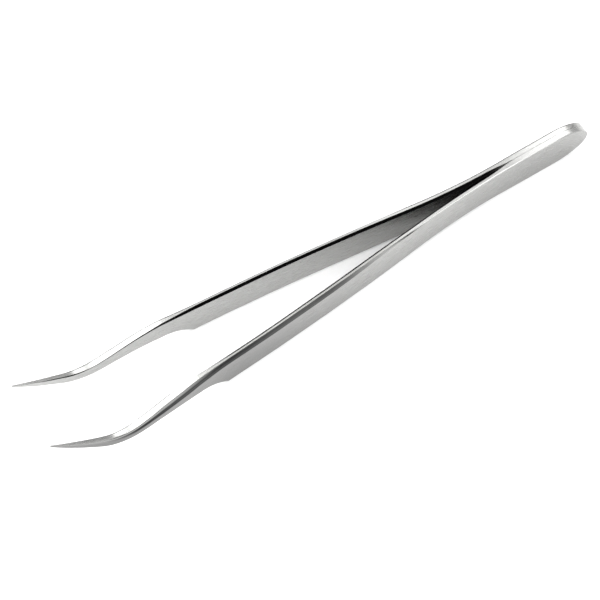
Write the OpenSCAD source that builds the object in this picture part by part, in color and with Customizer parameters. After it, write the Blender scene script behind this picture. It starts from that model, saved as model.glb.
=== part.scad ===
// Precision tweezers with upturned needle points, in millimetres.
// +X runs from the heel to the points, +Z is up, and the two arms mirror each other across the XZ plane.
// The origin is on the resting surface, half way between the heel and the points.
// The arms stand on their lower edges, sprung apart. Each real arm is one strip of steel. Here it is a tang
// and a blade, which meet at the line about which the blade swings when the strip flexes.

/* [Arm] */
// Width of an arm at the heel and the grip
arm_w = 9; // [8:0.1:11]
// Length of the rounded heel end
heel_l = 7.2; // [4.5:0.1:9]
// How far each edge draws in at the waist of the spring
waist_dip = 0.4; // [0:0.05:0.6]
// Thickness of an arm at the heel
heel_t = 1.12; // [0.9:0.02:1.3]
// Thickness of an arm along the spring
spring_t = 1.06; // [0.9:0.02:1.3]
// Thickness of an arm at the grip
grip_t = 1.18; // [1:0.02:1.4]
// Thickness of an arm at the shank
shank_t = 1.68; // [1.1:0.02:1.8]
// Thickness of an arm at the very point
point_t = 0.28; // [0.2:0.02:0.4]

/* [Spring] */
// Length of the tang's welded part, where the two arms lie face to face
tang_l = 15.5; // [14.5:0.5:17]
// Angle at which each arm leaves the tang
spread_angle = 6.4; // [5.5:0.1:7]
// Distance from the heel end to the line about which a blade swings
hinge_x = 32; // [28:1:35]
// Gap left between the points when they are squeezed shut
closed_gap = 0.04; // [0.02:0.01:0.2]
// How far the arms are squeezed: 0 is at rest, 1 is shut
squeeze = 0; // [0:0.05:1]

/* [Shank and point] */
// Distance from the heel end to the step in the lower edge
step_x = 82.7; // [80:0.1:84]
// Length of the step
step_l = 6.2; // [4:0.1:7]
// Width of the shank just past the step
shank_w = 5.6; // [5:0.1:6.5]
// How far the upper edge dips ahead of the shank
shank_dip = 0.2; // [0:0.05:0.4]
// Distance along an arm from the heel end to the neck, where the shank has drawn in
neck_x = 99; // [95:0.5:104]
// Width of an arm at the neck
neck_w = 3.35; // [2.8:0.05:4]
// Downward angle of the shank
drop_angle = 10.5; // [7:0.5:13]
// Radius of the upward bend
bend_r = 9.4; // [8:0.1:12]
// Angle at which the needle point leaves the bend
point_angle = 38; // [32:1:42]
// Length of the needle point past the bend
point_l = 13.6; // [12:0.1:16]
// Width of the very point
point_w = 0.24; // [0.2:0.02:0.4]

/* [Ground edges] */
// Depth of the bevel along the upper inner edge of an arm
inner_bevel_d = 0.45; // [0.1:0.01:0.45]
// Height of the bevel along the upper inner edge of an arm
inner_bevel_h = 0.54; // [0.1:0.02:0.9]
// How much the same bevel grows again in the bend
bend_bevel = 0.16; // [0:0.02:0.3]
// Depth of the bevels along the outer edges of an arm
outer_bevel_d = 0.36; // [0.1:0.02:0.4]
// Height of the bevel along the upper outer edge of an arm at the grip
outer_bevel_h = 1.4; // [0.5:0.1:2]
// How much of the shank's outer side the same bevel takes
shank_bevel = 0.42; // [0.2:0.02:0.6]
// Depth of the chamfers along the outer edges of the tang
chamfer_d = 0.22; // [0.1:0.02:0.3]
// Height of the same chamfers
chamfer_h = 0.1; // [0.06:0.02:0.2]

/* [Welds] */
// Diameter of a spot weld
weld_d = 3.2; // [2:0.1:3.6]
// How deep a spot weld reaches into each arm
weld_depth = 0.5; // [0.3:0.05:0.6]
// Distance of the rear weld from the heel end
rear_weld_x = 5; // [4.5:0.5:6]
// Distance of the front weld from the heel end
front_weld_x = 11; // [10:0.5:12]

/* [Hidden] */
steel = [0.75, 0.75, 0.74];
weld_steel = [0.55, 0.55, 0.56];
spine_z = arm_w - shank_w / 2;       // height of the line that the shank's middle starts on
shank_x = step_x + step_l;           // where the step ends and the shank starts
spring_x = tang_l + 21.5;            // where the outward bend of the spring ends
hinge_slit = 0.02;                   // slit between tang and blade
edge_min = 0.03;                     // smallest bevel, at the heel end and the very point
weld_edge = 0.25;                    // how much smaller a weld's flat ends are than its middle

// A path is a list of stretches, each [length, turn in degrees]. One that turns by 0 is straight, the others
// are arcs. SPREAD is the inner face of an arm seen from above, SPINE is its middle seen from the side.
SPREAD = [[tang_l, 0], [spring_x - tang_l, spread_angle], [15, 0], [40, -3.6], [10.5, 0], [9, -3.4], [40, 0]];
SPINE = [[88.5, 0], [7.3, -drop_angle], [5.7, 0],
         [bend_r * (drop_angle + point_angle) * PI / 180, drop_angle + point_angle], [point_l, 8.5]];

function total(path, n) = n == 0 ? 0 : path[n - 1][0] + total(path, n - 1);
spine_l = total(SPINE, len(SPINE));

// The step taken along a stretch of length l that turns by turn, from heading h
function stretch_step(l, turn, h) = turn == 0 ? l * [cos(h), sin(h)]
    : (l * 180 / PI / turn) * [sin(h + turn) - sin(h), cos(h) - cos(h + turn)];

// [distance, offset, heading] at a length s along a path that starts level at 0
function follow(path, s, i = 0, at = [0, 0], h = 0) =
    let (ends_here = i == len(path) - 1 || s <= path[i][0],
         l = ends_here ? s : path[i][0],
         turn = path[i][1] * l / path[i][0],
         to = at + stretch_step(l, turn, h))
    ends_here ? [to[0], to[1], h + turn] : follow(path, s - l, i + 1, to, h + turn);

// 0 before a, 1 after b, smooth between
function ramp(x, a, b) = let (t = min(1, max(0, (x - a) / (b - a)))) t * t * (3 - 2 * t);
function mix(a, b, t) = a + (b - a) * t;

// What the round heel end, the waist and the step take off an edge at a length s from the heel end
function round_cut(s) = s < heel_l ? arm_w / 2 * (1 - sqrt(max(0, 1 - pow(1 - s / heel_l, 2)))) : 0;
function waist_cut(s) = waist_dip * ramp(s, tang_l - 1.5, 28) * (1 - ramp(s, hinge_x, 50));
function step_cut(s) = (arm_w - shank_w) * (1 - pow(1 - min(1, max(0, (s - step_x) / step_l)), 2));
function dip(s) = shank_dip * ramp(s, 62, 76) * (1 - ramp(s, 96, 112));

// Width of the shank and the needle point, and the edges of an arm above and below its spine
function needle_w(s) = s < neck_x
    ? mix(shank_w, neck_w, (s - shank_x) / (neck_x - shank_x))
    : mix(neck_w, point_w, (s - neck_x) / (spine_l - neck_x));
function above(s) = (s < shank_x ? shank_w / 2 - round_cut(s) - waist_cut(s) : needle_w(s) / 2) - dip(s);
function below(s) = s < shank_x
    ? arm_w - shank_w / 2 - round_cut(s) - waist_cut(s) - step_cut(s) : needle_w(s) / 2;
function thickness(s) =
    let (body = mix(mix(heel_t, spring_t, ramp(s, tang_l - 1.5, 24)), grip_t, ramp(s, 34, 50)),
         swell = mix(body, shank_t, ramp(s, 80, 96)),
         taper_x = 100)
    mix(swell, point_t, pow(max(0, (s - taper_x) / (spine_l - taper_x)), 1.3));

// The three bevels' sizes at a length s: each is kept, fades in or fades out, and shrinks towards both ends
function fade(s) = min(1, (spine_l + 4 - s) / 30) * ramp(s, 0, 3);
function in_bend(s) = bend_bevel * ramp(s, 103, 109) * (1 - ramp(s, 112, 118));
function in_start(size, s) = mix(edge_min, size, ramp(s, 15.5, 23));
function in_depth(s) = in_start(inner_bevel_d, s) * (1 - 0.7 * ramp(s, 80, 92)) + in_bend(s);
function in_height(s) = in_start(inner_bevel_h, s) * (1 - 0.85 * ramp(s, 86, 97)) + in_bend(s);
function out_depth(s) = mix(chamfer_d, outer_bevel_d, ramp(s, 36, 62));
function out_height(s) = mix(mix(chamfer_h, outer_bevel_h, ramp(s, 36, 62)),
                             shank_bevel * (above(s) + below(s)), ramp(s, 84, 94));

// Section of an arm: points [distance from the inner face, height above the spine]
function section(s) =
    let (t = thickness(s), up = above(s), down = below(s), all = up + down,
         inner_d = max(edge_min, min(in_depth(s), t * 0.38) * fade(s)),
         inner_h = max(edge_min, min(in_height(s), all * 0.3) * fade(s)),
         outer_d = max(edge_min, min(out_depth(s), t * 0.35) * fade(s)),
         outer_h = max(edge_min, min(out_height(s), all * 0.6) * fade(s)),
         under = max(edge_min, min(inner_d, all * 0.3)))
    [[0, under - down], [0, up - inner_h], [inner_d, up], [t - outer_d, up],
     [t, up - outer_h], [t, min(outer_d, all * 0.3) - down], [t - outer_d, -down], [under, -down]];

// The lie of an arm: its inner face's distance from the middle plane, and the length of the whole object
function inner_y(x) = follow(SPREAD, x)[1];
tip = follow(SPINE, spine_l);
half_l = (tip[0] + sin(tip[2]) * point_w / 2) / 2;

// Squeezing swings a blade about the inner edge of its hinge line, until the points all but meet
arm_reach = [tip[0] - hinge_x, inner_y(tip[0]) - inner_y(hinge_x)];
close_angle = asin((inner_y(hinge_x) - closed_gap / 2) / norm(arm_reach)) + atan2(arm_reach[1], arm_reach[0]);

function ring(s) = let (p = follow(SPINE, s), y = inner_y(p[0]))
    [for (q = section(s)) [p[0] - half_l - sin(p[2]) * q[1], y + q[0], spine_z + p[1] + cos(p[2]) * q[1]]];

// A closed solid through the arm's sections at the given lengths
module loft(stations) {
    rings = [for (s = stations) ring(s)];
    n = len(rings[0]);
    last = len(rings) - 1;
    sides = [for (i = [0 : last - 1], k = [0 : n - 1])
        let (a = i * n + k, b = i * n + (k + 1) % n)
        each [[a, b, b + n], [a, b + n, a + n]]];
    caps = [[for (k = [n - 1 : -1 : 0]) k], [for (k = [0 : n - 1]) last * n + k]];
    polyhedron([for (r = rings) each r], concat(sides, caps), convexity = 6);
}

tang_stations = concat(
    [for (i = [0 : 10]) heel_l * (1 - cos(mix(4, 90, i / 10)))],
    [tang_l - 1.5],
    [for (i = [0 : 16]) mix(tang_l, hinge_x, i / 16)]);
blade_stations = concat(
    [for (i = [0 : 24]) mix(hinge_x + hinge_slit, step_x - 1, i / 24)],
    [for (i = [0 : 10]) mix(step_x, shank_x, i / 10)],
    [for (i = [1 : 30]) mix(shank_x, spine_l, i / 30)]);

module weld(x) color(weld_steel)
    translate([x - half_l, 0, arm_w / 2]) rotate([90, 0, 0]) rotate_extrude($fn = 48)
        polygon([[0, -weld_depth], [weld_d / 2 - weld_edge, -weld_depth], [weld_d / 2, 0],
                 [weld_d / 2 - weld_edge, weld_depth], [0, weld_depth]]);
module front_weld() weld(front_weld_x);
module rear_weld() weld(rear_weld_x);

module left_tang() color(steel) difference() {
    loft(tang_stations);
    front_weld();
    rear_weld();
}
module right_tang() mirror([0, 1, 0]) left_tang();

module left_blade() color(steel)
    translate([hinge_x - half_l, inner_y(hinge_x), 0]) rotate([0, 0, -squeeze * close_angle])
        translate([half_l - hinge_x, -inner_y(hinge_x), 0]) loft(blade_stations);
module right_blade() mirror([0, 1, 0]) left_blade();

left_tang();
right_tang();
front_weld();
rear_weld();
left_blade();
right_blade();
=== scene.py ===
"""Looks of the curved-point precision tweezers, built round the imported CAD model. Lengths in the arm's own
functions are in millimetres along the strip from the heel end; everything handed to Blender is in metres."""
import math

import bpy
import numpy as np
from mathutils import Matrix, Vector


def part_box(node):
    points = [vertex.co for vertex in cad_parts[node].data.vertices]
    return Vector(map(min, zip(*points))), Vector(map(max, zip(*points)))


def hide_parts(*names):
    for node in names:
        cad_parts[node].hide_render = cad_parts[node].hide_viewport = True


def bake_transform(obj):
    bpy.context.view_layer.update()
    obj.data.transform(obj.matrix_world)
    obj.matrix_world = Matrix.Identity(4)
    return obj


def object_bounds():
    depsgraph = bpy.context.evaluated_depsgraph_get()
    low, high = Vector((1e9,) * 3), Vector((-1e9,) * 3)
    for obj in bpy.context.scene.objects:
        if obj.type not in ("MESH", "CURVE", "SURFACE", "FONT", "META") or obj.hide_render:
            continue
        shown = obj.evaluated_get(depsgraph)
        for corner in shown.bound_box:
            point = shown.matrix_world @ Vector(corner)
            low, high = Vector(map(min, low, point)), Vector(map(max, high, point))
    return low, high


MM = 0.001

# ---------------------------------------------------------------- the frame
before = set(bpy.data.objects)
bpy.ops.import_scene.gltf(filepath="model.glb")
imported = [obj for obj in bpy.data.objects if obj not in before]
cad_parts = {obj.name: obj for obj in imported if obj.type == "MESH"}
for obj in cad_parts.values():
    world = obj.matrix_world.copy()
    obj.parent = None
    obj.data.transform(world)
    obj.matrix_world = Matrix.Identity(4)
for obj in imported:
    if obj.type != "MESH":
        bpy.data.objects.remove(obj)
cad_low, cad_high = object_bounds()
tang_low, tang_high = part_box("left_tang")
HALF_L = cad_high.x / MM

# ---------------------------------------------------------------- the lie of an arm, as the CAD makes it
ARM_W = tang_high.z / MM
HEEL_L, TANG_L, SPRING_X = 7.2, 15.5, 37.0
HEEL_T, SPRING_T, GRIP_T, SHANK_T, POINT_T = 1.12, 1.06, 1.18, 1.68, 0.28
WAIST_DIP, SHANK_DIP = 0.4, 0.2
STEP_X, STEP_L = 82.7, 6.2
SHANK_X = STEP_X + STEP_L
SHANK_W, NECK_X, NECK_W, POINT_W = 5.6, 99.0, 3.35, 0.24
SPINE_Z = ARM_W - SHANK_W / 2
DROP, POINT_TURN, BEND_R = 10.5, 38.0, 9.4
INNER_BEVEL_D, INNER_BEVEL_H, OUTER_BEVEL_D, OUTER_BEVEL_H = 0.45, 0.54, 0.36, 1.4
SHANK_BEVEL, BEND_BEVEL, CHAMFER_D, CHAMFER_H, EDGE_MIN = 0.42, 0.16, 0.22, 0.10, 0.03
TIP_ROUND = 0.10

# Paths of (length, turn in degrees): the arm seen from above, and its spine seen from the side
SPREAD = [(TANG_L, 0), (SPRING_X - TANG_L, 6.4), (15, 0), (40, -3.6), (10.5, 0), (9, -3.4), (40, 0)]
SPINE = [(88.5, 0), (7.3, -DROP), (5.7, 0),
         (BEND_R * math.radians(DROP + POINT_TURN), DROP + POINT_TURN), (13.6, 8.5)]
SPINE_L = sum(length for length, _ in SPINE)

# Stretches of the strip over which something comes in or goes out
HEEL_THINS, GRIP_THICKENS, SHANK_SWELLS = (14, 24), (34, 50), (80, 96)
WAIST_IN, WAIST_OUT = (TANG_L - 1.5, 28), (32, 50)
DIP_IN, DIP_OUT = (62, 76), (96, 112)
INNER_IN, INNER_THINS, INNER_NARROWS = (15.5, 23), (80, 92), (86, 97)
OUTER_IN, SHANK_BEVEL_IN = (36, 62), (84, 94)
BEND_IN, BEND_OUT = (103, 109), (112, 118)
TAPER_X, TAPER_POWER = 100, 1.3


def ramp(x, a, b):
    """0 before a, 1 after b, smooth between."""
    t = min(1.0, max(0.0, (x - a) / (b - a)))
    return t * t * (3 - 2 * t)


def during(s, comes, goes):
    """1 between two stretches, smooth over each of them, 0 elsewhere."""
    return ramp(s, *comes) * (1 - ramp(s, *goes))


def mix(a, b, t):
    return a + (b - a) * t


def follow(path, s):
    """(distance, offset, heading in radians) at a length s along a path of (length, turn in degrees)."""
    x = y = heading = 0.0
    for i, (length, turn) in enumerate(path):
        last = i == len(path) - 1 or s <= length
        step = s if last else length
        angle = math.radians(turn) * step / length
        if abs(angle) < 1e-9:
            x += step * math.cos(heading)
            y += step * math.sin(heading)
        else:
            radius = step / angle
            x += radius * (math.sin(heading + angle) - math.sin(heading))
            y += radius * (math.cos(heading) - math.cos(heading + angle))
        heading += angle
        if last:
            return x, y, heading
        s -= length


def round_cut(s):
    """How much the elliptical heel end takes off each edge."""
    if s >= HEEL_L:
        return 0.0
    return ARM_W / 2 * (1 - math.sqrt(max(0.0, 1 - (1 - s / HEEL_L) ** 2)))


def waist_cut(s):
    return WAIST_DIP * during(s, WAIST_IN, WAIST_OUT)


def step_cut(s):
    """How much the concave step at the end of the grip takes off the lower edge."""
    t = min(1.0, max(0.0, (s - STEP_X) / STEP_L))
    return (ARM_W - SHANK_W) * (1 - (1 - t) ** 2)


def needle_w(s):
    if s < NECK_X:
        return mix(SHANK_W, NECK_W, (s - SHANK_X) / (NECK_X - SHANK_X))
    return mix(NECK_W, POINT_W, (s - NECK_X) / (SPINE_L - NECK_X))


def above(s):
    """Height of the upper edge over the spine."""
    whole = SHANK_W / 2 - round_cut(s) - waist_cut(s) if s < SHANK_X else needle_w(s) / 2
    return whole - SHANK_DIP * during(s, DIP_IN, DIP_OUT)


def below(s):
    """Depth of the lower edge under the spine."""
    if s < SHANK_X:
        return ARM_W - SHANK_W / 2 - round_cut(s) - waist_cut(s) - step_cut(s)
    return needle_w(s) / 2


def thickness(s):
    tang = mix(HEEL_T, SPRING_T, ramp(s, *HEEL_THINS))
    grip = mix(tang, GRIP_T, ramp(s, *GRIP_THICKENS))
    shank = mix(grip, SHANK_T, ramp(s, *SHANK_SWELLS))
    return mix(shank, POINT_T, max(0.0, (s - TAPER_X) / (SPINE_L - TAPER_X)) ** TAPER_POWER)


def bevel_sizes(s):
    """(depth, height) of the inner bevel and of the outer bevel at a length s."""
    bend = BEND_BEVEL * during(s, BEND_IN, BEND_OUT)
    inner_in = ramp(s, *INNER_IN)
    inner_d = mix(EDGE_MIN, INNER_BEVEL_D, inner_in) * (1 - 0.7 * ramp(s, *INNER_THINS)) + bend
    inner_h = mix(EDGE_MIN, INNER_BEVEL_H, inner_in) * (1 - 0.85 * ramp(s, *INNER_NARROWS)) + bend
    outer_d = mix(CHAMFER_D, OUTER_BEVEL_D, ramp(s, *OUTER_IN))
    grip_h = mix(CHAMFER_H, OUTER_BEVEL_H, ramp(s, *OUTER_IN))
    outer_h = mix(grip_h, SHANK_BEVEL * (above(s) + below(s)), ramp(s, *SHANK_BEVEL_IN))
    return inner_d, inner_h, outer_d, outer_h


def corners(s):
    """The eight corners of the section at s: (distance from the inner face, height above the spine)."""
    t, up, down = thickness(s), above(s), below(s)
    whole = up + down
    fade = min(1.0, (SPINE_L + 4 - s) / 30) * ramp(s, 0, 3)
    inner_d, inner_h, outer_d, outer_h = bevel_sizes(s)
    inner_d = max(EDGE_MIN, min(inner_d, t * 0.38) * fade)
    inner_h = max(EDGE_MIN, min(inner_h, whole * 0.3) * fade)
    outer_d = max(EDGE_MIN, min(outer_d, t * 0.35) * fade)
    outer_h = max(EDGE_MIN, min(outer_h, whole * 0.6) * fade)
    under = max(EDGE_MIN, min(inner_d, whole * 0.3))
    low = min(outer_d, whole * 0.3)
    return np.array([(0, under - down), (0, up - inner_h), (inner_d, up), (t - outer_d, up),
                     (t, up - outer_h), (t, low - down), (t - outer_d, -down), (under, -down)])


# ---------------------------------------------------------------- painted dark reflection and rounding of the section
# Each corner of the section is rounded over this length, in mm, at the tang and on the shank: inner low,
# inner high, strip inner, strip outer, bevel low, outer low, under outer, under inner
SOFTEN_TANG = np.array([0.04, 0.03, 0.03, 0.04, 0.04, 0.24, 0.20, 0.05])
SOFTEN_SHANK = np.array([0.06, 0.05, 0.05, 0.24, 0.26, 0.30, 0.24, 0.06])
SOFTEN_CHANGES = (60, 92)
ARC = 4                 # steps round a corner
CROWN_STEPS = 5         # steps across the crowned outer bevel
SUPPORT = 0.05          # flat beside a corner before the next point, in mm
CORNER_PART, SUPPORT_PART = 0.36, 0.46      # the most of a side that a corner and its flat may take

# Sides of the section that carry painted dark reflection in their colour, each with the changes of its share
# of it along the strip:
# (change, from, to)
INNER_SIDE, STRIP, OUTER_SIDE, OUTER_FACE = 1, 2, 3, 4
PAINTED_DARK = {
    INNER_SIDE: [(0.93, 15.5, 22), (-0.744, 114, 118)],
    STRIP: [(0.34, 4, 18), (-0.34, 84, 93)],
    OUTER_SIDE: [(0.90, 38, 60), (0.10, 66, 84), (-0.60, 101, 113)],
    OUTER_FACE: [(0.14, -1, 0), (-0.14, 12, 34), (0.40, 40, 84), (0.22, 94, 108)],
}
BEVEL_TOP = 0.35        # share of painted dark reflection at the top of the outer bevel, as a part of the share lower down


def painted_dark_share(side, s):
    """How far a side of the section carries painted dark reflection, on the bevels and points."""
    return sum(change * ramp(s, a, b) for change, a, b in PAINTED_DARK.get(side, []))


def crown(start, end, s):
    """Points across the outer bevel, which bulges a little, and how much painted dark reflection each one
    has.
    """
    side = end - start
    out = np.array((-side[1], side[0])) / max(np.linalg.norm(side), 1e-9)
    bulge = min(0.04 * np.linalg.norm(side), 0.30 * abs(side[0]))
    share = painted_dark_share(OUTER_SIDE, s)
    shank = ramp(s, *SHANK_BEVEL_IN)
    points, shares = [], []
    for k in range(1, CROWN_STEPS):
        t = k / CROWN_STEPS
        points.append(start + side * t + out * bulge * 4 * t * (1 - t))
        shares.append(share * mix(1.0, mix(BEVEL_TOP, 1.0, ramp(t, 0.05, 0.5)), shank))
    return points, shares


def tip_rounded(points, s):
    """The section shrunk to its middle over the last stretch, so that the point ends round."""
    left = SPINE_L - s
    if left >= TIP_ROUND:
        return points
    middle = (points.max(0) + points.min(0)) / 2
    shrink = math.sqrt(max(0.0, 1 - ((TIP_ROUND - left) / TIP_ROUND) ** 2))
    return middle + (points - middle) * max(0.08, shrink)


def corner_arc(i, here, back, ahead, soften, s):
    """Points round corner i with a flat at each end, their shares of painted dark reflection and their edge
    shares.
    """
    len_b, len_a = np.linalg.norm(back), np.linalg.norm(ahead)
    cut_b, cut_a = min(soften, CORNER_PART * len_b), min(soften, CORNER_PART * len_a)
    flat_b, flat_a = min(cut_b + SUPPORT, SUPPORT_PART * len_b), min(cut_a + SUPPORT, SUPPORT_PART * len_a)
    dir_b, dir_a = back / max(len_b, 1e-9), ahead / max(len_a, 1e-9)
    start, end = here + dir_b * cut_b, here + dir_a * cut_a
    share_b, share_a = painted_dark_share((i - 1) % 8, s), painted_dark_share(i, s)
    if i == OUTER_SIDE:
        share_a *= mix(1.0, BEVEL_TOP, ramp(s, *SHANK_BEVEL_IN))
    points, painted_dark, edge = [here + dir_b * flat_b], [share_b], [0.0]
    for k in range(ARC + 1):
        t = k / ARC
        points.append(start * (1 - t) ** 2 + here * 2 * t * (1 - t) + end * t * t)
        painted_dark.append(mix(share_b, share_a, ramp(t, 0.3, 1.0) if i == OUTER_FACE else t))
        edge.append(1.0 - abs(2 * t - 1) * 0.6)
    points.append(here + dir_a * flat_a)
    painted_dark.append(share_a)
    edge.append(0.0)
    return points, painted_dark, edge


def section(s):
    """The section at s with its corners rounded: points, shares of painted dark reflection, edge shares,
    distance round it.
    """
    pts = tip_rounded(corners(s), s)
    soften = mix(SOFTEN_TANG, SOFTEN_SHANK, ramp(s, *SOFTEN_CHANGES))
    out, painted_dark, edge = [], [], []
    for i, here in enumerate(pts):
        after = pts[(i + 1) % len(pts)]
        points, shares, edges = corner_arc(i, here, pts[i - 1] - here, after - here, soften[i], s)
        out += points
        painted_dark += shares
        edge += edges
        if i == OUTER_SIDE:
            ahead = after - here
            length = np.linalg.norm(ahead)
            stop = min(min(soften[i + 1], CORNER_PART * length) + SUPPORT, SUPPORT_PART * length)
            points, shares = crown(out[-1], after - ahead / max(length, 1e-9) * stop, s)
            out += points
            painted_dark += shares
            edge += [0.0] * len(points)
    out = np.array(out)
    walk = np.concatenate([[0.0], np.cumsum(np.linalg.norm(np.diff(out, axis=0), axis=1))])
    return out, painted_dark, edge, walk


def steps(a, b, count):
    """Even steps from a to b, without a itself."""
    return list(np.linspace(a, b, count)[1:])


def stations():
    """Lengths along the strip where it has a section, closer together where it turns or narrows."""
    step_start, foot_end, taper_end = STEP_X - 0.6, SHANK_X + 1.5, SPINE_L - 1.5
    heel = [HEEL_L * (1 - math.cos(math.radians(a))) for a in np.linspace(0.8, 90, 36)]
    tang = steps(HEEL_L, TANG_L, 10)
    spring = steps(TANG_L, 50, 56)
    grip = steps(50, step_start, 38)
    step = steps(step_start, STEP_X, 5)[:-1] + [STEP_X - 0.03, STEP_X + 0.03]
    foot = steps(STEP_X, foot_end, 36)
    shank = steps(foot_end, taper_end, 130)
    point = [SPINE_L - (SPINE_L - taper_end) * (1 - t) ** 1.6 for t in steps(0, 1, 22)]
    return heel + tang + spring + grip + step + foot + shank + point


def strip_faces(row_count, n):
    """Quads between neighbouring sections of n points, and a face at each end."""
    faces = []
    for i in range(row_count - 1):
        for k in range(n):
            a, b = i * n + k, i * n + (k + 1) % n
            faces.append((a, b, b + n, a + n))
    last = (row_count - 1) * n
    faces.append(tuple(range(n))[::-1])
    faces.append(tuple(range(last, last + n)))
    return faces


UV_SIDE = 100.0     # mm of strip to one unit of the UV map


def lay_uv(mesh, lengths, sections, shift):
    """UV map along and round the strip. The quads that close a section end at the whole way round it."""
    n = len(sections[0][0])
    around = np.concatenate([walk for _, _, _, walk in sections])
    girths = [walk[-1] + np.linalg.norm(pts[0] - pts[-1]) for pts, _, _, walk in sections]
    layer = mesh.uv_layers.new(name="strip")
    for poly in mesh.polygons:
        places = [mesh.loops[j].vertex_index for j in poly.loop_indices]
        closing = {p % n for p in places} == {0, n - 1}
        for j, p in zip(poly.loop_indices, places):
            row, place = divmod(p, n)
            way = girths[row] if closing and place == 0 else around[p]
            layer.data[j].uv = (lengths[row] / UV_SIDE, way / UV_SIDE + shift)


def arm_mesh(name, side):
    """One arm as a single strip. side is 1 for the left arm, -1 for the right."""
    lengths = stations()
    sections = [section(s) for s in lengths]
    verts, painted_dark, edge = [], [], []
    for s, (pts, shares, edges, _) in zip(lengths, sections):
        x, z, heading = follow(SPINE, s)
        y = follow(SPREAD, x)[1]
        for out, up in pts:
            verts.append(((x - HALF_L - math.sin(heading) * up) * MM,
                          side * (y + out) * MM,
                          (SPINE_Z + z + math.cos(heading) * up) * MM))
        painted_dark += shares
        edge += edges
    faces = strip_faces(len(lengths), len(sections[0][0]))
    if side > 0:
        faces = [face[::-1] for face in faces]
    mesh = bpy.data.meshes.new(name)
    mesh.from_pydata(verts, [], faces)
    mesh.validate()
    mesh.update()
    # The first attribute is each point's share of painted dark reflection, the second its worn-edge share.
    for key, values in (("painted_dark", painted_dark), ("edge", edge)):
        layer = mesh.attributes.new(key, "FLOAT", "POINT")
        layer.data.foreach_set("value", np.array(values, np.float32))
    lay_uv(mesh, lengths, sections, 0.0 if side > 0 else 0.5)
    mesh.shade_smooth()
    arm = bpy.data.objects.new(name, mesh)
    bpy.context.scene.collection.objects.link(arm)
    return arm


# ---------------------------------------------------------------- materials
class Graph:
    """Short calls for building a node tree."""

    def __init__(self, tree):
        self.tree = tree

    def node(self, kind, **values):
        made = self.tree.nodes.new(kind)
        for key, value in values.items():
            setattr(made, key, value)
        return made

    def link(self, output, socket):
        self.tree.links.new(output, socket)

    def feed(self, socket, value):
        """Link an output to a socket, or set a plain value on it."""
        if isinstance(value, bpy.types.NodeSocket):
            self.link(value, socket)
        else:
            socket.default_value = value

    def math(self, operation, a, b):
        made = self.node("ShaderNodeMath", operation=operation)
        self.feed(made.inputs[0], a)
        self.feed(made.inputs[1], b)
        return made.outputs[0]

    def span(self, value, low, high, to_low=0.0, to_high=1.0, smooth=True):
        """A value between low and high as one between to_low and to_high."""
        made = self.node("ShaderNodeMapRange", clamp=True)
        made.interpolation_type = "SMOOTHSTEP" if smooth else "LINEAR"
        for socket, part in zip(made.inputs[:5], (value, low, high, to_low, to_high)):
            self.feed(socket, part)
        return made.outputs[0]

    def blend(self, share, a, b):
        """Colour a turning into colour b as share goes from 0 to 1."""
        made = self.node("ShaderNodeMix", data_type="RGBA", clamp_factor=True)
        self.feed(made.inputs[0], share)
        self.feed(made.inputs[6], a)
        self.feed(made.inputs[7], b)
        return made.outputs[2]

    def attribute(self, name):
        return self.node("ShaderNodeAttribute", attribute_name=name).outputs["Fac"]

    def grain(self, vector, scale, size, detail, rough):
        """Noise over a stretched copy of the coordinates."""
        moved = self.node("ShaderNodeMapping", vector_type="POINT")
        self.link(vector, moved.inputs["Vector"])
        moved.inputs["Scale"].default_value = scale
        noise = self.node("ShaderNodeTexNoise", noise_dimensions="3D")
        self.link(moved.outputs[0], noise.inputs["Vector"])
        noise.inputs["Scale"].default_value = size
        noise.inputs["Detail"].default_value = detail
        noise.inputs["Roughness"].default_value = rough
        return noise.outputs["Fac"]

    def bump(self, height, strength, distance):
        made = self.node("ShaderNodeBump")
        made.inputs["Strength"].default_value = strength
        made.inputs["Distance"].default_value = distance
        self.link(height, made.inputs["Height"])
        return made.outputs[0]


EVEN = (1, 1, 1)


def new_material(name):
    material = bpy.data.materials.new(name)
    material.use_nodes = True
    material.node_tree.nodes.clear()
    graph = Graph(material.node_tree)
    shader = graph.node("ShaderNodeBsdfPrincipled")
    output = graph.node("ShaderNodeOutputMaterial")
    graph.link(shader.outputs[0], output.inputs["Surface"])
    return material, graph, shader


def arm_colour(g, lines, cloud, painted_dark, edge):
    """Satin grey with lighter scratches and soft clouds, near black where dark reflection is painted, pale
    on worn edges.
    """
    tone = g.span(lines, 0.35, 0.65, 0.0, 1.0, False)
    satin = g.blend(tone, (0.285, 0.285, 0.279, 1), (0.405, 0.405, 0.399, 1))
    satin = g.blend(g.span(cloud, 0.35, 0.65, 0.0, 0.5), satin, (0.34, 0.34, 0.330, 1))
    # Painted dark reflection: a near-black steel colour for bevels and faces that would look dark from
    # reflecting dark surroundings.
    dark = g.blend(tone, (0.006, 0.006, 0.0065, 1), (0.022, 0.022, 0.022, 1))
    worn = g.math("MULTIPLY", edge, g.span(painted_dark, 0.0, 1.0, 0.12, 0.0, False))
    return g.blend(worn, g.blend(painted_dark, satin, dark), (0.60, 0.60, 0.59, 1))


def arm_roughness(g, lines, mottle, painted_dark, edge):
    """Rougher along the scratches and in patches, smoother where dark reflection is painted (the bevels and
    points) and on the edges.
    """
    rough = g.span(lines, 0.30, 0.70, 0.21, 0.30, False)
    rough = g.math("ADD", rough, g.math("MULTIPLY", mottle, 0.05))
    rough = g.math("SUBTRACT", rough, g.math("MULTIPLY", painted_dark, 0.10))
    return g.math("SUBTRACT", rough, g.math("MULTIPLY", edge, 0.05))


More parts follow.
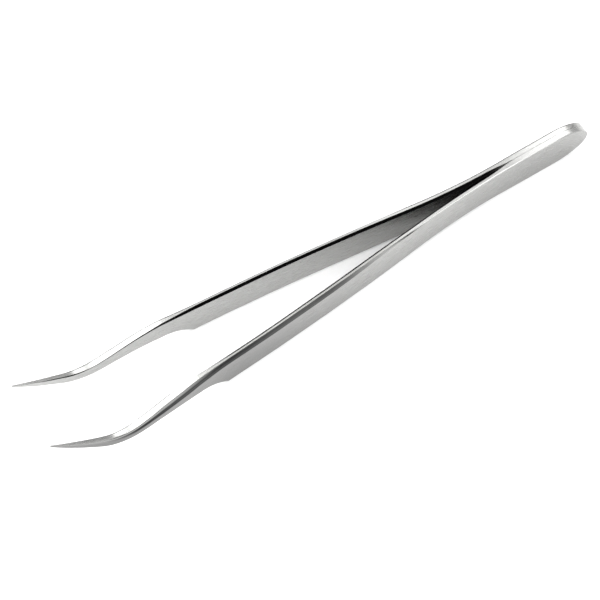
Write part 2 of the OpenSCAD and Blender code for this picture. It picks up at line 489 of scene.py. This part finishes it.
def arm_steel():
    """Satin stainless steel: fine scratches along the strip, painted dark reflection on the bevels, bright
    worn edges.
    """
    material, g, shader = new_material("satin_steel")
    uv = g.node("ShaderNodeUVMap", uv_map="strip").outputs[0]
    # The first attribute is each point's share of painted dark reflection.
    painted_dark, edge = g.attribute("painted_dark"), g.attribute("edge")
    scratches = g.grain(uv, (40, 300, 1), 1.0, 5.0, 0.66)
    hairs = g.grain(uv, (55, 2600, 1), 1.0, 2.0, 0.5)
    cloud = g.grain(uv, (60, 90, 1), 1.0, 3.0, 0.55)
    mottle = g.grain(uv, (420, 420, 1), 1.0, 2.0, 0.6)
    lines = g.math("ADD", g.math("MULTIPLY", scratches, 0.7), g.math("MULTIPLY", hairs, 0.3))
    g.link(arm_colour(g, lines, cloud, painted_dark, edge), shader.inputs["Base Color"])
    g.link(arm_roughness(g, lines, mottle, painted_dark, edge), shader.inputs["Roughness"])
    g.link(g.bump(lines, 0.12, 0.00002), shader.inputs["Normal"])
    shader.inputs["Metallic"].default_value = 1.0
    return material


def weld_steel():
    """The fused steel of a spot weld: coarser and darker than the strip."""
    material, g, shader = new_material("fused_steel")
    place = g.node("ShaderNodeTexCoord").outputs["Object"]
    grains = g.grain(place, EVEN, 2200.0, 4.0, 0.65)
    heat = g.grain(place, EVEN, 500.0, 2.0, 0.5)
    colour = g.blend(grains, (0.24, 0.24, 0.25, 1), (0.40, 0.39, 0.38, 1))
    colour = g.blend(g.span(heat, 0.4, 0.7, 0.0, 0.4), colour, (0.30, 0.27, 0.24, 1))
    g.link(colour, shader.inputs["Base Color"])
    g.link(g.span(grains, 0.3, 0.7, 0.35, 0.6), shader.inputs["Roughness"])
    g.link(g.bump(grains, 0.3, 0.00005), shader.inputs["Normal"])
    shader.inputs["Metallic"].default_value = 1.0
    return material


def floor_paint():
    """Plain white paper, with a trace of fibre."""
    material, g, shader = new_material("white_floor")
    place = g.node("ShaderNodeTexCoord").outputs["Object"]
    fibre = g.grain(place, EVEN, 900.0, 3.0, 0.6)
    g.link(g.blend(fibre, (0.90, 0.90, 0.90, 1), (0.93, 0.93, 0.93, 1)), shader.inputs["Base Color"])
    g.link(g.span(fibre, 0.3, 0.7, 0.85, 0.95), shader.inputs["Roughness"])
    shader.inputs["Specular IOR Level"].default_value = 0.1
    return material


# ---------------------------------------------------------------- pieces
def make_arms():
    """Both arms, each a single strip that curves from the heel over the spring to the point, shown in place
    of the CAD tang and blade.
    """
    steel = arm_steel()
    for hand, side in (("left", 1), ("right", -1)):
        arm = arm_mesh(hand + "_arm_strip", side)
        arm.data.materials.append(steel)
        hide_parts(hand + "_tang", hand + "_blade")
        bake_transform(arm)


def dress_welds():
    steel = weld_steel()
    for name in ("front_weld", "rear_weld"):
        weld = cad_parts[name]
        weld.data.materials.clear()
        weld.data.materials.append(steel)


# ---------------------------------------------------------------- stage, light, camera
FLOOR_SIDE = 3.0
FLOOR_GAP = 0.00005
SKY_LEVEL = 1.25
LIGHT_DISTANCE = 0.8


def make_floor():
    mesh = bpy.data.meshes.new("floor")
    h = FLOOR_SIDE / 2
    mesh.from_pydata([(-h, -h, 0), (h, -h, 0), (h, h, 0), (-h, h, 0)], [], [(0, 1, 2, 3)])
    floor = bpy.data.objects.new("floor", mesh)
    floor.location.z = cad_low.z - FLOOR_GAP
    bpy.context.scene.collection.objects.link(floor)
    mesh.materials.append(floor_paint())


def sky_level(g, x, y, z):
    """Brightness of the studio by direction: even overhead, greyer low down on the far side and behind the
    heel, brighter towards the near side, and nearly dark low down on the near side."""
    far_rim = g.span(y, -0.66, -0.46, 0.08, 0.85)
    overhead = g.span(z, 0.28, 0.70, far_rim, 1.0)
    near_side = g.span(y, -0.30, 0.25, 1.0, 1.7)
    behind_heel = g.span(x, -0.80, -0.66, 0.80, 1.0)
    near_rim = g.math("MULTIPLY", g.span(y, 0.32, 0.62), g.span(z, 0.72, 0.56))
    level = g.math("MULTIPLY", g.math("MULTIPLY", overhead, near_side), behind_heel)
    level = g.math("MULTIPLY", level, SKY_LEVEL)
    return g.math("MULTIPLY", level, g.span(near_rim, 0.0, 1.0, 1.0, 0.035, False))


def make_world():
    world = bpy.data.worlds.new("studio")
    bpy.context.scene.world = world
    world.use_nodes = True
    world.node_tree.nodes.clear()
    g = Graph(world.node_tree)
    split = g.node("ShaderNodeSeparateXYZ")
    g.link(g.node("ShaderNodeTexCoord").outputs["Generated"], split.inputs[0])
    back = g.node("ShaderNodeBackground")
    back.inputs["Color"].default_value = (1, 1, 1, 1)
    g.link(sky_level(g, *split.outputs), back.inputs["Strength"])
    out = g.node("ShaderNodeOutputWorld")
    g.link(back.outputs[0], out.inputs["Surface"])


def soft_box(name, toward, width, height, radiance):
    """An area light that faces the object from a direction."""
    data = bpy.data.lights.new(name, "AREA")
    data.shape = "RECTANGLE"
    data.size, data.size_y = width, height
    data.energy = radiance * math.pi * width * height
    light = bpy.data.objects.new(name, data)
    bpy.context.scene.collection.objects.link(light)
    way = Vector(toward).normalized()
    light.location = way * LIGHT_DISTANCE
    light.rotation_mode = "QUATERNION"
    light.rotation_quaternion = way.to_track_quat("Z", "Y")


def make_lights():
    soft_box("soft_box_over_points", (0.20, -0.36, 0.88), 0.52, 0.60, 3.5)
    soft_box("soft_box_behind_heel", (-0.55, -0.37, 0.73), 0.30, 0.48, 3.6)
    soft_box("soft_box_near_side", (0.0, 0.45, 0.88), 0.60, 0.30, 3.0)


# Angles in degrees, lengths in mm. The aim is measured from the heel end, in the middle plane.
CAM_AZ, CAM_EL, CAM_ROLL = 59.05, 63.98, -1.30
CAM_LENS, CAM_SENSOR = 180.0, 36.0
CAM_DISTANCE = 551.5
CAM_AIM = (60.0, 0.0, 4.0)
CAM_SLIDE = (2.64, 2.89)


def make_camera():
    """A long lens high over the left arm and the points."""
    az, el, roll = (math.radians(a) for a in (CAM_AZ, CAM_EL, CAM_ROLL))
    back = Vector((math.cos(el) * math.cos(az), math.cos(el) * math.sin(az), math.sin(el)))
    level = Vector((-math.sin(az), math.cos(az), 0))
    upright = back.cross(level)
    right = math.cos(roll) * level + math.sin(roll) * upright
    up = -math.sin(roll) * level + math.cos(roll) * upright
    aim = Vector(CAM_AIM) - Vector((HALF_L, 0, 0))
    place = aim + CAM_DISTANCE * back - CAM_SLIDE[0] * right - CAM_SLIDE[1] * up
    data = bpy.data.cameras.new("camera")
    data.lens, data.sensor_width = CAM_LENS, CAM_SENSOR
    data.clip_start, data.clip_end = 0.02, 20.0
    camera = bpy.data.objects.new("camera", data)
    bpy.context.scene.collection.objects.link(camera)
    turn = Matrix((right, up, back)).transposed().to_4x4()
    camera.matrix_world = Matrix.Translation(place * MM) @ turn
    bpy.context.scene.camera = camera


make_arms()
dress_welds()
make_floor()
make_world()
make_lights()
make_camera()
bpy.context.scene.view_settings.view_transform = "Standard"
